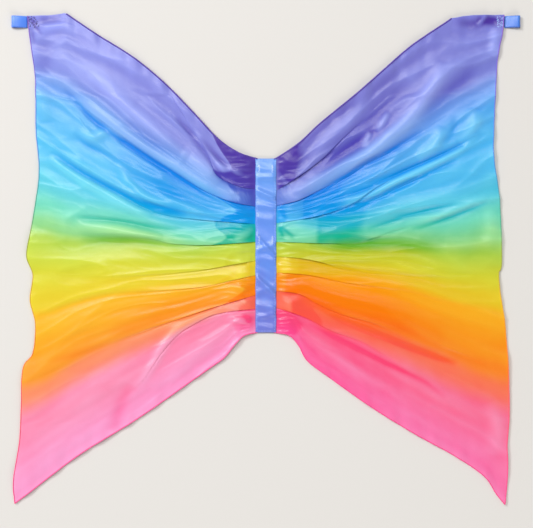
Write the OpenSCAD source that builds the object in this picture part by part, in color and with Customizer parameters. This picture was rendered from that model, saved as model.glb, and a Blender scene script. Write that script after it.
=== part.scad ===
// Fairy wings: two dyed silk wings gathered onto a satin spine ribbon, with wrist loops and arm straps.
// The wings lie flat, face up, on the plane z = 0. +Y points to the wearer's head.

/* [Spine] */
// Width of the satin spine ribbon
ribbon_w = 38; // [30:1:50]
// Length of the spine ribbon
spine_l = 318; // [300:1:330]
// Thickness of one ribbon layer
ribbon_t = 0.5; // [0.3:0.1:0.6]
// Thickness of the silk gathered between the two ribbons
gather_t = 1.3; // [0.8:0.1:1.5]

/* [Wings] */
// Loft of the draped silk
silk_t = 2; // [1.5:0.1:2.5]
// Clear height under the silk, where the straps lie
silk_lift = 2; // [1.9:0.1:2.2]
// Width of the rolled hem
hem_w = 2.4; // [1.5:0.1:4]
// Height of the rolled hem
hem_h = 3; // [2.4:0.1:3.2]
// Number of pleats in each wing
pleats = 9; // [5:1:12]
// Height of a pleat above the silk
pleat_h = 0.6; // [0.3:0.1:0.8]

/* [Wrist loops] */
// Width of the loop ribbon
loop_w = 21; // [16:1:25]
// How far a loop stands out from the wing
loop_l = 30; // [24:1:36]
// Outer radius of the loop's fold
loop_r = 4; // [3.5:0.1:5]

/* [Arm straps] */
// Width of the elastic
strap_w = 12; // [8:1:14]
// Thickness of the elastic
strap_t = 0.9; // [0.6:0.1:0.9]
// How far a strap's fold lies from the spine's centre
strap_reach = 90; // [70:1:110]
// Distance between a strap's two sewn ends
strap_span = 130; // [100:1:160]

/* [Stitches] */
// Length of one stitch
stitch_l = 3.2; // [2:0.1:4]
// Distance between stitches
stitch_pitch = 5; // [4.5:0.1:8]
// Width of the thread
thread_w = 0.6; // [0.3:0.1:0.8]

/* [Hidden] */
$fn = 48;

// Heights of the layers at the spine, from the ground up
back_z = 1.2;
gather_z = back_z + ribbon_t;
front_z = gather_z + gather_t;
face_z = front_z + ribbon_t;
stitch_h = 0.25;

// The spine's middle lies above the outline's middle, because the lower wing tips reach further
spine_y = 24.5;
spine_top = spine_y + spine_l / 2;
spine_foot = spine_y - spine_l / 2;
seam_inset = 2.6;

// A wing turns on the ribbon's edge and clears it by this much
hinge_gap = 0.3;
root_u = ribbon_w / 2 + hinge_gap;

// The elastic is sewn on this far from the spine's centre
strap_root = 12;
strap_y = 100;
strap_slope = strap_span / 2 / (strap_reach - strap_root);
strap_half = strap_w / 2 * sqrt(1 + strap_slope * strap_slope);

// The loop turns on a round seam clear of the wing's corner
loop_edge = 435;
loop_top = 444;
seam_r = 0.6;
loop_seam_u = loop_edge + 1.3;
loop_seam_z = 1.2;
loop_sewn = 4;

// Outlines, as distance out from the spine's centre and height up the wings
left_top = [
    [root_u, spine_top], [50, 194], [88, 220], [135, 270], [185, 321], [242, 368], [310, 411], [366, 449]
];
left_fold = [[366, 449], [400, 445]];
left_outer = [
    [435, 444], [432, 412], [421, 325], [420, 236], [414, 165], [420, 110], [430, 50], [437, 5],
    [426, -30], [431, -75], [421, -120], [426, -172], [444, -200], [447, -270], [450, -330],
    [461, -405], [459, -447]
];
left_bottom = [
    [459, -447], [430, -425], [340, -357], [232, -290], [108, -203], [77, -181], [58, -158],
    [40, -140], [root_u, spine_foot]
];
right_top = [
    [root_u, spine_top], [40, 197], [65, 215], [100, 248], [166, 302], [216, 346], [267, 390], [340, 440]
];
right_fold = [[340, 440], [373, 445]];
right_outer = [
    [435, 446], [432, 412], [423, 360], [416, 225], [417, 178], [427, 110], [431, -5], [426, -26],
    [428, -60], [437, -120], [443, -200], [445, -283], [441, -340], [442, -370], [441, -410], [437, -449]
];
right_bottom = [
    [437, -449], [421, -429], [398, -396], [342, -358], [273, -320], [192, -270], [117, -217],
    [76, -186], [60, -158], [42, -139], [root_u, spine_foot]
];

// The corner of the silk is turned under, along the fold
left_flap = [[369, 447.5], [400, 445], [431, 444], [427, 402], [398, 398], [371, 424]];
right_flap = [[342, 440], [373, 445], [431, 446], [427, 402], [396, 399], [362, 420]];

// Smooth curve through points: steps parts for each gap between them
curve_steps = 4;
function spline(a, b, c, d, t) =
    (2 * b + (c - a) * t + (2 * a - 5 * b + 4 * c - d) * t * t + (3 * b - a - 3 * c + d) * t * t * t) / 2;
function curve(p) = [
    for (i = [0 : len(p) - 2], k = [0 : curve_steps - 1])
        spline(p[max(i - 1, 0)], p[i], p[i + 1], p[min(i + 2, len(p) - 1)], k / curve_steps),
    p[len(p) - 1]
];

// The same line moved sideways to its right by the widths w, one for each point, with mitred corners
function unit(v) = v / norm(v);
function right_of(v) = [v[1], -v[0]];
function inset(p, w) = [
    for (i = [0 : len(p) - 1])
        let (
            before = right_of(unit(p[max(i, 1)] - p[max(i, 1) - 1])),
            after = right_of(unit(p[min(i + 1, len(p) - 1)] - p[min(i, len(p) - 2)])),
            mid = unit(before + after)
        )
        p[i] + mid * w[i] / (mid * after)
];
function part_of(p, from, to) = [for (i = [from : to]) p[i]];
function reversed(p) = [for (i = [len(p) - 1 : -1 : 0]) p[i]];
function at_root(p, i) = [for (k = [0 : len(p) - 1]) k == i ? [root_u, p[k][1]] : p[k]];

// The hem narrows into the sharp lower tip
tip_share = 0.3;
tip_run = 25;
function rim_widths(line, tip) = [for (q = line) hem_w * min(1, tip_share + norm(q - tip) / tip_run)];

// The hemmed rim runs out along the top edge, then from the corner round the tip and back to the spine
function top_line(top) = curve(top);
function top_inset(top) = at_root(inset(top_line(top), [for (q = top_line(top)) hem_w]), 0);
function rim_line(outer, bottom) = concat(curve(outer), part_of(curve(bottom), 1, len(curve(bottom)) - 1));
function rim_inset(outer, bottom) =
    let (line = rim_line(outer, bottom))
    at_root(inset(line, rim_widths(line, bottom[0])), len(line) - 1);

module mirrored_if(left) {
    if (left) mirror([1, 0, 0]) children();
    else children();
}

module plate(points, z, h) {
    translate([0, 0, z]) linear_extrude(h) polygon(points);
}

// Pleats fan out from the spine and die away towards the wing's edge
fan_high = 330;
fan_low = -330;
module pleat_fan() {
    pitch = (spine_l - 20) / pleats;
    for (i = [0 : pleats - 1]) {
        share = (i + 0.5) / pleats;
        high = spine_top - 10 - i * pitch;
        reach = 190 + 110 * abs(cos(180 * share));
        aim = (fan_high + (fan_low - fan_high) * share) * 0.62;
        plate([[root_u + 0.5, high], [reach, aim], [root_u + 0.5, high - pitch * 0.8]],
            silk_lift + silk_t, pleat_h);
    }
}

module wing_silk(left, top, fold, outer, bottom) {
    color(left ? "mediumslateblue" : "hotpink") mirrored_if(left) {
        plate(concat(top_inset(top), fold, rim_inset(outer, bottom)), silk_lift, silk_t);
        pleat_fan();
    }
}

module corner_fold(left, flap) {
    fold_t = 0.8;
    color("slateblue") mirrored_if(left) plate(flap, silk_lift - fold_t, fold_t);
}

module hem(left, line, inner) {
    mirrored_if(left) plate(concat(line, reversed(inner)), 0, hem_h);
}

module top_hem(left, top) {
    color("darkviolet") hem(left, top_line(top), top_inset(top));
}

module outer_hem(left, outer, bottom) {
    last = len(curve(outer)) - 1;
    color("gold") hem(left, part_of(rim_line(outer, bottom), 0, last),
        part_of(rim_inset(outer, bottom), 0, last));
}

module bottom_hem(left, outer, bottom) {
    first = len(curve(outer)) - 1;
    last = len(rim_line(outer, bottom)) - 1;
    color("deeppink") hem(left, part_of(rim_line(outer, bottom), first, last),
        part_of(rim_inset(outer, bottom), first, last));
}

module ribbon_strip(z) {
    translate([-ribbon_w / 2, spine_foot, z]) cube([ribbon_w, spine_l, ribbon_t]);
}

module spine_front_ribbon() {
    color("cornflowerblue") ribbon_strip(front_z);
}

module spine_back_ribbon() {
    color("royalblue") ribbon_strip(back_z);
}

module spine_gathered_silk() {
    tuck = 0.4;
    color("limegreen") translate([-ribbon_w / 2 + tuck, spine_foot + tuck, gather_z])
        cube([ribbon_w - 2 * tuck, spine_l - 2 * tuck, gather_t]);
}

module stitch_row(from, to, z) {
    run = norm(to - from);
    count = floor((run - stitch_l) / stitch_pitch);
    slack = (run - count * stitch_pitch - stitch_l) / 2;
    translate([from[0], from[1], z]) rotate(atan2(to[1] - from[1], to[0] - from[0]))
        for (i = [0 : count])
            translate([slack + i * stitch_pitch, -thread_w / 2, 0]) cube([stitch_l, thread_w, stitch_h]);
}

module spine_seams(z) {
    side = ribbon_w / 2 - seam_inset;
    foot = spine_foot + seam_inset;
    top = spine_top - seam_inset;
    for (s = [-1, 1]) stitch_row([s * side, foot + 2], [s * side, top - 2], z);
    for (y = [foot, top]) stitch_row([-side + 4, y], [side - 4, y], z);
}

module spine_front_stitching() {
    color("lightsteelblue") spine_seams(face_z);
}

module spine_back_stitching() {
    color("lightsteelblue") spine_seams(back_z - stitch_h);
}

module zigzag(width, rows, pitch) {
    for (i = [0 : rows - 1])
        translate([0, i * pitch, 0]) rotate(i % 2 == 0 ? 24 : -24)
            translate([-width / 2, -thread_w / 2, 0]) cube([width, thread_w, stitch_h]);
}

module strap_tacks(left) {
    rows = 5;
    pitch = 2.6;
    color("aliceblue") mirrored_if(left)
        for (s = [-1, 1])
            translate([strap_root, strap_y + s * strap_span / 2 - pitch * (rows - 1) / 2, face_z])
                zigzag(5, rows, pitch);
}

module care_label() {
    label = [14, 24, 0.7];
    color("white") translate([-label[0] / 2, spine_foot + 12, back_z - label[2]]) cube(label);
}

module loop_tack(left) {
    rows = 6;
    pitch = 3;
    color("indigo") mirrored_if(left)
        translate([loop_seam_u - 9, loop_top - loop_w / 2 - pitch * (rows - 1) / 2, silk_lift + silk_t])
            zigzag(6, rows, pitch);
}

// Two round ends joined by straight sides, which sink into the ends a little
module teardrop(from, r0, to, r1, width) {
    sunk = 0.97;
    apart = norm(to - from);
    aim = atan2(to[1] - from[1], to[0] - from[0]);
    spread = 90 + asin((r1 - r0) / apart);
    linear_extrude(width) polygon([
        for (s = [[from, r0, 1], [to, r1, 1], [to, r1, -1], [from, r0, -1]])
            s[0] + sunk * s[1] * [cos(aim + s[2] * spread), sin(aim + s[2] * spread)]
    ]);
    translate([from[0], from[1], 0]) cylinder(h = width, r = r0);
    translate([to[0], to[1], 0]) cylinder(h = width, r = r1);
}

module wrist_loop(left) {
    seam = [loop_seam_u, loop_seam_z];
    end = [loop_edge + loop_l - loop_r, loop_r];
    inner = seam + loop_sewn * unit(end - seam);
    inner_r = seam_r + (loop_r - seam_r) * loop_sewn / norm(end - seam) - ribbon_t;
    color("dodgerblue") mirrored_if(left)
        translate([0, loop_top, 0]) rotate([90, 0, 0]) difference() {
            teardrop(seam, seam_r, end, loop_r, loop_w);
            translate([0, 0, -1]) teardrop(inner, inner_r, end, loop_r - ribbon_t, loop_w + 2);
        }
}

// One flat elastic, folded back on itself at its far end, so that it lies as a V
module arm_strap(left) {
    fold_depth = strap_half / strap_slope;
    color("lightskyblue") mirrored_if(left) {
        for (s = [-1, 1]) {
            sewn = strap_y + s * strap_span / 2;
            plate([
                [strap_root, sewn - strap_half], [strap_root, sewn + strap_half],
                [strap_reach, strap_y + strap_half], [strap_reach, strap_y - strap_half]
            ], 0, strap_t);
            translate([strap_root, sewn - strap_half, strap_t / 2]) rotate([-90, 0, 0])
                cylinder(h = 2 * strap_half, r = strap_t / 2);
        }
        plate([
            [strap_reach - fold_depth, strap_y], [strap_reach, strap_y + strap_half],
            [strap_reach, strap_y - strap_half]
        ], strap_t, strap_t * 0.9);
    }
}

spine_front_ribbon();
spine_gathered_silk();
spine_back_ribbon();
spine_front_stitching();
spine_back_stitching();
care_label();
strap_tacks(true);  // left_strap_tacks
strap_tacks(false);  // right_strap_tacks
wing_silk(true, left_top, left_fold, left_outer, left_bottom);  // left_wing_silk
top_hem(true, left_top);  // left_top_hem
outer_hem(true, left_outer, left_bottom);  // left_outer_hem
bottom_hem(true, left_outer, left_bottom);  // left_bottom_hem
corner_fold(true, left_flap);  // left_corner_fold
loop_tack(true);  // left_loop_tack
wing_silk(false, right_top, right_fold, right_outer, right_bottom);  // right_wing_silk
top_hem(false, right_top);  // right_top_hem
outer_hem(false, right_outer, right_bottom);  // right_outer_hem
bottom_hem(false, right_outer, right_bottom);  // right_bottom_hem
corner_fold(false, right_flap);  // right_corner_fold
loop_tack(false);  // right_loop_tack
wrist_loop(true);  // left_wrist_loop
wrist_loop(false);  // right_wrist_loop
arm_strap(true);  // left_arm_strap
arm_strap(false);  // right_arm_strap
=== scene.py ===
"""Fairy wings of dyed silk, gathered on a satin spine ribbon, lying flat and face up."""

import math

import bpy
import numpy as np
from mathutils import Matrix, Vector, noise


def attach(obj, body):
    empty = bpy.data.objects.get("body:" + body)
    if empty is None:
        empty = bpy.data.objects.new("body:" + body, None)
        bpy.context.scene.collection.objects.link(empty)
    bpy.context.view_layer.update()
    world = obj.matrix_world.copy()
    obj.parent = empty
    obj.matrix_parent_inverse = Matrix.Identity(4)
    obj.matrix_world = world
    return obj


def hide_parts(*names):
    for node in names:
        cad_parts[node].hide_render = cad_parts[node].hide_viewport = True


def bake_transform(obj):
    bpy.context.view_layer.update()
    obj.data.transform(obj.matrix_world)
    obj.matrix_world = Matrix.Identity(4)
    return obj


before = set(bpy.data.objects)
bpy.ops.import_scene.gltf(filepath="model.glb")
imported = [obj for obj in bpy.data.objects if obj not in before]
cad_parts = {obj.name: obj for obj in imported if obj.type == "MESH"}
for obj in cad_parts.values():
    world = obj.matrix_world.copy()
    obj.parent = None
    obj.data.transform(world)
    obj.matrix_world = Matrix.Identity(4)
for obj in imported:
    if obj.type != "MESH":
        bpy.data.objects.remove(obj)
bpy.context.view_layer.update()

MM = 0.001

# ---------------------------------------------------------------- the cloth's plan, in mm
# Points are (out from the spine's middle, up towards the wearer's head).

SILK_SIDE = 889.0
SILK_HALF = SILK_SIDE / 2
UNDER_RIBBON = 15.0
RIBBON_HALF = 19.0
SPINE_TOP = 183.5
SPINE_FOOT = -134.5

TOP_EDGE = {
    "left": [(15, 183), (19, 184), (50, 194), (88, 220), (135, 270), (185, 321), (242, 368), (310, 411),
             (359, 444), (367, 449), (375, 448), (402, 445), (435, 444)],
    "right": [(15, 183), (19, 184), (40, 197), (65, 215), (100, 248), (166, 302), (216, 346), (267, 390),
              (332, 434), (340, 440), (348, 441), (375, 445), (435, 446)],
}
FOLD_CORNER = {"left": 367, "right": 340}
OUTER_EDGE = {
    "left": [(435, 444), (432, 412), (421, 325), (420, 236), (414, 165), (420, 110), (430, 50), (437, 5),
             (426, -30), (431, -75), (421, -120), (426, -172), (444, -200), (447, -270), (450, -330),
             (461, -405), (459, -447)],
    "right": [(435, 446), (432, 412), (423, 360), (416, 225), (417, 178), (427, 110), (431, -5), (426, -26),
              (428, -60), (437, -120), (443, -200), (445, -283), (441, -340), (442, -370), (441, -410),
              (437, -449)],
}
BOTTOM_EDGE = {
    "left": [(15, -134), (19, -135), (40, -140), (58, -158), (77, -181), (108, -203), (232, -290),
             (340, -357), (430, -425), (459, -447)],
    "right": [(15, -134), (19, -135), (42, -139), (60, -158), (76, -186), (117, -217), (192, -270),
              (273, -320), (342, -358), (398, -396), (421, -429), (437, -449)],
}

# Where each dye border lies on the flat cloth, as a share of its side from the top hem
BORDER_SHARE = [0.15, 0.37, 0.48, 0.63, 0.77, 0.83]
# The same borders on the draped wing: violet, blue, green, yellow, orange, salmon, pink
DYE_BORDERS = {
    "left": [
        [(20, 90), (66, 109), (157, 166), (249, 222), (340, 286), (404, 318), (450, 335)],
        [(20, 63), (66, 63), (157, 66), (249, 90), (340, 116), (404, 130), (450, 140)],
        [(20, 26), (66, 23), (110, 20), (157, 22), (249, 36), (340, 37), (404, 48), (450, 52)],
        [(20, -32), (66, -42), (157, -53), (249, -60), (340, -75), (404, -96), (450, -104)],
        [(20, -66), (66, -76), (157, -108), (249, -137), (340, -181), (404, -214), (450, -228)],
        [(20, -95), (66, -98), (157, -128), (249, -175), (340, -221), (404, -259), (450, -275)],
    ],
    "right": [
        [(20, 94), (62, 108), (108, 134), (154, 162), (245, 213), (337, 268), (410, 308), (450, 325)],
        [(20, 64), (62, 67), (108, 71), (154, 73), (245, 92), (337, 103), (410, 123), (450, 130)],
        [(20, 26), (62, 25), (108, 24), (154, 24), (245, 18), (337, 11), (410, 15), (450, 15)],
        [(20, -21), (62, -24), (108, -30), (154, -34), (245, -44), (337, -73), (410, -91), (450, -98)],
        [(20, -59), (62, -65), (108, -88), (154, -104), (245, -131), (337, -177), (410, -205), (450, -215)],
        [(20, -92), (62, -104), (108, -126), (154, -140), (245, -183), (337, -232), (410, -258), (450, -270)],
    ],
}

# Pleats run out from the spine. tuck is how far the cloth goes under itself at the spine, opens is
# where that layer has run out, rise is the height of the fold and ends is where it has died away.
PLEATS = {
    "left": [
        dict(line=[(15, 127), (46, 130), (90, 151), (108, 190), (141, 242), (178, 299)],
             tuck=15, opens=150, rise=4.5, ends=185,
             deep=(15, 95, 0.95)),
        dict(line=[(15, 91), (45, 97), (79, 108), (121, 128), (185, 168), (251, 212), (309, 252), (346, 286),
                   (371, 313)],
             tuck=16, opens=120, rise=4.0, ends=390,
             deep=(15, 75, 0.9)),
        dict(line=[(15, 63), (124, 71), (187, 81), (234, 99), (298, 134), (361, 172), (403, 204), (440, 240)],
             tuck=15, opens=160, rise=5.0, ends=420,
             deep=(15, 84, 1.0)),
        dict(line=[(15, 30), (110, 24), (172, 27), (220, 37), (329, 41), (440, 50)],
             tuck=15, opens=190, rise=4.0, ends=330,
             deep=(15, 100, 1.0)),
        dict(line=[(15, -4), (108, -20), (203, -29), (298, -32), (425, -20), (440, -20)],
             tuck=12, opens=130, rise=3.5, ends=430,
             deep=(40, 85, 0.35)),
        dict(line=[(15, -31), (108, -51), (187, -58), (282, -63), (346, -76), (414, -93), (440, -97)],
             tuck=15, opens=150, rise=4.0, ends=420,
             deep=(30, 90, 0.4)),
        dict(line=[(15, -66), (93, -89), (172, -115), (234, -137), (311, -168), (361, -197), (440, -225)],
             tuck=14, opens=140, rise=4.0, ends=420,
             deep=(15, 70, 0.8)),
        dict(line=[(15, -94), (70, -99), (108, -108), (156, -137), (187, -172), (209, -206), (225, -228),
                   (300, -300)],
             tuck=13, opens=120, rise=3.0, ends=190,
             deep=(15, 60, 0.7)),
    ],
    "right": [
        dict(line=[(15, 124), (24, 127), (60, 149), (101, 180), (130, 209), (167, 244), (230, 300)],
             tuck=15, opens=120, rise=4.5, ends=200,
             deep=(25, 80, 0.85)),
        dict(line=[(15, 92), (60, 105), (101, 127), (145, 149), (185, 174), (236, 200), (289, 233),
                   (350, 275)],
             tuck=16, opens=110, rise=4.0, ends=320,
             deep=(15, 70, 0.35)),
        dict(line=[(15, 64), (92, 77), (154, 98), (198, 127), (249, 156), (295, 174), (337, 193), (386, 224),
                   (440, 260)],
             tuck=15, opens=120, rise=5.0, ends=400,
             deep=(70, 150, 0.9)),
        dict(line=[(15, 30), (139, 27), (185, 33), (218, 46), (295, 72), (342, 86), (404, 103), (440, 112)],
             tuck=15, opens=160, rise=4.5, ends=420,
             deep=(95, 200, 0.7)),
        dict(line=[(15, 3), (60, 0), (101, -7), (148, -20), (218, -28), (311, -31), (404, -25), (440, -14)],
             tuck=12, opens=130, rise=3.5, ends=430,
             deep=(80, 170, 0.4)),
        dict(line=[(15, -26), (79, -31), (135, -42), (198, -51), (264, -60), (311, -73), (373, -86),
                   (440, -110)],
             tuck=15, opens=150, rise=4.0, ends=425,
             deep=(60, 150, 0.45)),
        dict(line=[(15, -59), (60, -65), (92, -82), (139, -102), (201, -120), (264, -148), (311, -164),
                   (357, -173), (440, -200)],
             tuck=14, opens=110, rise=4.0, ends=380,
             deep=(40, 130, 0.9)),
        dict(line=[(15, -91), (70, -108), (123, -133), (174, -151), (218, -177), (264, -208), (311, -232),
                   (400, -290)],
             tuck=13, opens=110, rise=4.0, ends=330,
             deep=(50, 110, 0.8)),
    ],
}

# Soft folds that lie on the wings between the pleats: rise (below 0 for a hollow), half width, how much
# painted shade deepens the dye along the fold (below 0, a painted highlight that lightens it), and its line
FOLDS = {
    "left": [
        (5, 10, -0.3, [(322, 339), (265, 288), (220, 248), (172, 207), (143, 185)]),
        (5, 7, -0.35, [(350, 300), (300, 262), (240, 218), (170, 172), (108, 132), (60, 112)]),
        (-2.5, 4, 0.65, [(371, 313), (346, 286), (309, 248), (251, 208), (185, 165), (121, 125), (79, 104)]),
        (-3.5, 5, 0.7, [(393, 197), (348, 165), (271, 124), (207, 90), (143, 77)]),
        (4, 6, -0.45, [(396, 186), (350, 153), (275, 110), (210, 77)]),
        (0, 20, 0.5, [(60, 84), (120, 104), (200, 140), (280, 185)]),
        (-3, 6, 0.9, [(98, 160), (70, 147), (45, 137), (20, 128)]),
        (3, 4, -0.35, [(92, 177), (60, 160), (30, 147)]),
        (2.5, 10, -0.5, [(150, 200), (112, 168), (84, 140)]),
        (1.2, 7, -0.4, [(46, 60), (47, 20), (46, -25), (42, -60)]),
        (1.5, 4, -0.5, [(58, 36), (38, 47), (22, 57)]),
        (2, 4, -0.4, [(55, -106), (42, -112), (30, -124)]),
        (-2, 3, 0.6, [(62, -108), (36, -106), (30, -118)]),
        (-0.5, 9, 0.85, [(18, -98), (30, -112), (44, -122), (58, -128)]),
        (0, 15, 0.35, [(60, -58), (130, -75), (220, -105), (300, -128)]),
        (-2.5, 4, 0.5, [(256, 136), (218, 105), (185, 93), (143, 86)]),
        (4, 6, -0.3, [(273, 175), (247, 135), (214, 112), (160, 100), (110, 84)]),
        (3, 6, -0.25, [(340, 235), (318, 222), (290, 232), (262, 214)]),
        (-2, 5, 0.35, [(352, 232), (330, 212), (300, 196), (240, 172)]),
        (-3, 4, 0.5, [(165, 259), (132, 222), (100, 180), (79, 147)]),
        (-2.5, 4, 0.55, [(121, 222), (88, 184), (57, 152)]),
        (3, 5, -0.3, [(136, 232), (105, 195), (72, 160)]),
        (-2, 13, 0.4, [(262, 249), (207, 211), (154, 184)]),
        (-2, 5, 0.5, [(359, 76), (271, 70), (207, 57), (150, 50)]),
        (3, 6, -0.3, [(351, 64), (298, 58), (234, 46), (187, 40)]),
        (-1.5, 9, 0.55, [(340, 36), (270, 34), (185, 32)]),
        (3, 14, -0.15, [(390, 372), (330, 345), (280, 318), (240, 280)]),
        (3, 10, -0.2, [(424, 330), (410, 290), (402, 250)]),
        (-0.8, 6, 0.3, [(372, 442), (388, 438), (410, 434), (430, 430)]),
        (1.5, 6, -0.2, [(345, 408), (372, 424), (400, 420), (425, 405)]),
        (-1.2, 2.5, 0.55, [(433, 443), (425, 432), (418, 420), (408, 408)]),
        (-1.2, 2.5, 0.45, [(430, 424), (426, 408), (424, 390)]),
        (-2, 11, 0.3, [(400, 400), (405, 360), (404, 330)]),
        (2, 10, -0.15, [(400, -140), (330, -120), (250, -105), (180, -88)]),
        (-1.2, 5, 0.3, [(400, -190), (340, -172), (280, -150)]),
        (2.5, 13, -0.1, [(400, -290), (340, -250), (290, -215), (240, -178)]),
        (4, 6, -0.45, [(240, -236), (214, -206), (190, -165), (160, -128), (120, -108), (80, -100)]),
        (-1.5, 8, 0.4, [(247, -228), (262, -262), (272, -290), (280, -316)]),
        (1.5, 14, -0.1, [(430, -345), (370, -310), (320, -270), (290, -240)]),
        (2.5, 9, -0.1, [(60, -120), (110, -160), (160, -205), (210, -240)]),
        (3, 6, -0.2, [(70, -104), (52, -112), (44, -126), (40, -140)]),
    ],
    "right": [
        (6, 9, -0.6, [(40, 112), (115, 149), (185, 193), (238, 235), (276, 273), (309, 321), (324, 359)]),
        (-3, 15, 0.42, [(88, 158), (137, 190), (185, 232), (223, 275), (260, 332)]),
        (3.5, 9, -0.3, [(77, 182), (115, 225), (163, 268), (185, 317)]),
        (2.5, 4, -0.6, [(203, 232), (214, 250), (224, 268)]),
        (2, 4, -0.5, [(178, 205), (186, 220), (192, 232)]),
        (5, 5, -0.5, [(88, 93), (146, 104), (196, 120), (249, 146), (309, 174), (351, 197), (388, 226)]),
        (-3, 4, 0.7, [(158, 87), (196, 107), (249, 133), (298, 157), (351, 182)]),
        (-2.5, 4, 0.6, [(392, 236), (358, 210), (314, 187), (253, 160), (200, 134), (150, 113)]),
        (-2.5, 4, 0.55, [(289, 236), (236, 203), (185, 176), (145, 151), (101, 128)]),
        (4, 8, -0.4, [(384, 273), (379, 240), (357, 209)]),
        (3.5, 7, -0.35, [(324, 240), (309, 209), (276, 182)]),
        (-2, 6, 0.25, [(350, 262), (342, 232), (318, 205)]),
        (-2.5, 4, 0.5, [(406, 104), (351, 82), (309, 67), (265, 54)]),
        (3, 5, -0.35, [(406, 113), (351, 91), (309, 76), (255, 60)]),
        (-2, 4, 0.45, [(351, 101), (298, 90), (243, 74), (185, 52)]),
        (-2, 11, 0.6, [(120, 24), (196, 21), (276, 22), (330, 24)]),
        (2, 9, -0.35, [(408, 20), (412, 60), (408, 100)]),
        (-0.6, 6, 0.4, [(338, 438), (360, 432), (385, 430), (410, 436), (440, 438)]),
        (-1.5, 6, 0.5, [(384, 438), (402, 437), (420, 435), (440, 434)]),
        (2, 2.5, -0.5, [(386, 426), (396, 436), (402, 445)]),
        (2, 6, -0.45, [(420, 425), (418, 400), (412, 370)]),
        (-2, 4, 0.7, [(88, -80), (141, -110), (223, -145), (309, -178), (351, -192)]),
        (-1.5, 4, 0.4, [(77, -117), (146, -153), (223, -192), (287, -223), (329, -256)]),
        (1.5, 19, 0.45, [(60, -50), (110, -62), (180, -82), (250, -112), (330, -145)]),
        (0, 12, 0.3, [(60, -14), (130, -30), (200, -40), (300, -55), (380, -70)]),
        (0, 12, 0.5, [(70, 90), (110, 98), (150, 105)]),
        (1, 7, -0.45, [(24, 76), (45, 74), (68, 80)]),
        (1, 11, -0.5, [(26, 48), (60, 50), (98, 46)]),
        (-2.5, 2.5, 0.7, [(22, 62), (38, 50), (56, 37)]),
        (-2, 2.5, 0.6, [(22, 57), (29, 47), (32, 36)]),
        (-1.5, 3, 0.5, [(24, 98), (34, 78), (38, 70)]),
        (1.2, 6, -0.4, [(33, 26), (35, 0), (34, -24), (38, -52)]),
        (-2.5, 5, 0.7, [(30, 176), (42, 158), (46, 140)]),
        (2.5, 4, -0.4, [(24, 160), (34, 142), (48, 132)]),
        (-2.5, 4, 0.6, [(30, -95), (48, -112), (64, -130)]),
        (-0.5, 8, 0.7, [(18, -96), (30, -112), (46, -124), (60, -134)]),
        (2, 4, -0.4, [(24, -100), (36, -114), (46, -132)]),
        (-1.5, 12, 0.3, [(390, 380), (360, 330), (320, 285), (280, 250)]),
        (2, 12, -0.1, [(400, -300), (340, -262), (280, -225), (230, -195)]),
        (2, 8, -0.25, [(60, -125), (110, -165), (160, -205), (215, -240)]),
        (2, 10, -0.4, [(420, -360), (424, -310), (412, -260)]),
    ],
}

SIDE_SIGN = {"left": -1.0, "right": 1.0}


# ---------------------------------------------------------------- small tools
def smooth_line(points, steps=12):
    """A smooth curve through points, as an array with steps parts for each gap."""
    p = np.array(points, float)
    ends = np.vstack([2 * p[0] - p[1], p, 2 * p[-1] - p[-2]])
    t = np.linspace(0, 1, steps, endpoint=False)[:, None]
    out = []
    for a, b, c, d in zip(ends[:-3], ends[1:-2], ends[2:-1], ends[3:]):
        out.append(0.5 * (2 * b + (c - a) * t + (2 * a - 5 * b + 4 * c - d) * t**2
                          + (3 * b - a - 3 * c + d) * t**3))
    return np.vstack(out + [p[-1:]])


def ease(x, low, high):
    """0 below low, 1 above high, and smooth between them."""
    t = np.clip((x - low) / (high - low), 0, 1)
    return t * t * (3 - 2 * t)


def height_at(line, out):
    """The height of a line at the distance out from the spine."""
    line = line[np.argsort(line[:, 0], kind="stable")]
    return np.interp(out, line[:, 0], line[:, 1])


def mesh_piece(name, points, faces):
    mesh = bpy.data.meshes.new(name)
    mesh.from_pydata([tuple(p) for p in points], [], faces)
    mesh.update()
    piece = bpy.data.objects.new(name, mesh)
    bpy.context.scene.collection.objects.link(piece)
    return piece


def shade_smooth(piece):
    piece.data.polygons.foreach_set("use_smooth", [True] * len(piece.data.polygons))


def flat_map(piece, name, flat):
    """Gives a piece a UV map, in metres, from a place in mm on the flat cloth for each of its points."""
    loops = np.zeros(len(piece.data.loops), int)
    piece.data.loops.foreach_get("vertex_index", loops)
    places = (np.array(flat) * MM).reshape(-1, 2)[loops]
    piece.data.uv_layers.new(name=name).data.foreach_set("uv", places.ravel())


def only(piece):
    """Selects this piece alone and makes it active."""
    bpy.ops.object.select_all(action="DESELECT")
    piece.select_set(True)
    bpy.context.view_layer.objects.active = piece


def finish_with(piece, kind, **settings):
    """Adds a modifier with these settings and applies it."""
    only(piece)
    modifier = piece.modifiers.new(kind.title(), kind)
    for key, value in settings.items():
        setattr(modifier, key, value)
    bpy.ops.object.modifier_apply(modifier=modifier.name)


def face_outwards(piece):
    only(piece)
    bpy.ops.object.mode_set(mode="EDIT")
    bpy.ops.mesh.select_all(action="SELECT")
    bpy.ops.mesh.normals_make_consistent(inside=False)
    bpy.ops.object.mode_set(mode="OBJECT")


def sheet_faces(rows, columns, flip=False):
    """Quads over a grid of points stored row by row."""
    faces = []
    for r in range(rows - 1):
        for c in range(columns - 1):
            a = r * columns + c
            quad = (a, a + columns, a + columns + 1, a + 1)
            faces.append(quad[::-1] if flip else quad)
    return faces


# ---------------------------------------------------------------- the silk's drape
ROWS = 560
COLUMNS = 150
# Heights in mm: between two pleats, at the hems, and the loft that folds and creases stand on
LOW = 2.3
REST = 2.6
LOFT = 1.6
# The least share of the cloth between two folds, and where a pleat's shoulder lies between them
CLEAR = 0.01
SHOULDER = 0.45
# How far under a pleat's fold the next layer comes out, as a share of the wing's height
UNDERLAP = 0.0075
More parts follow.
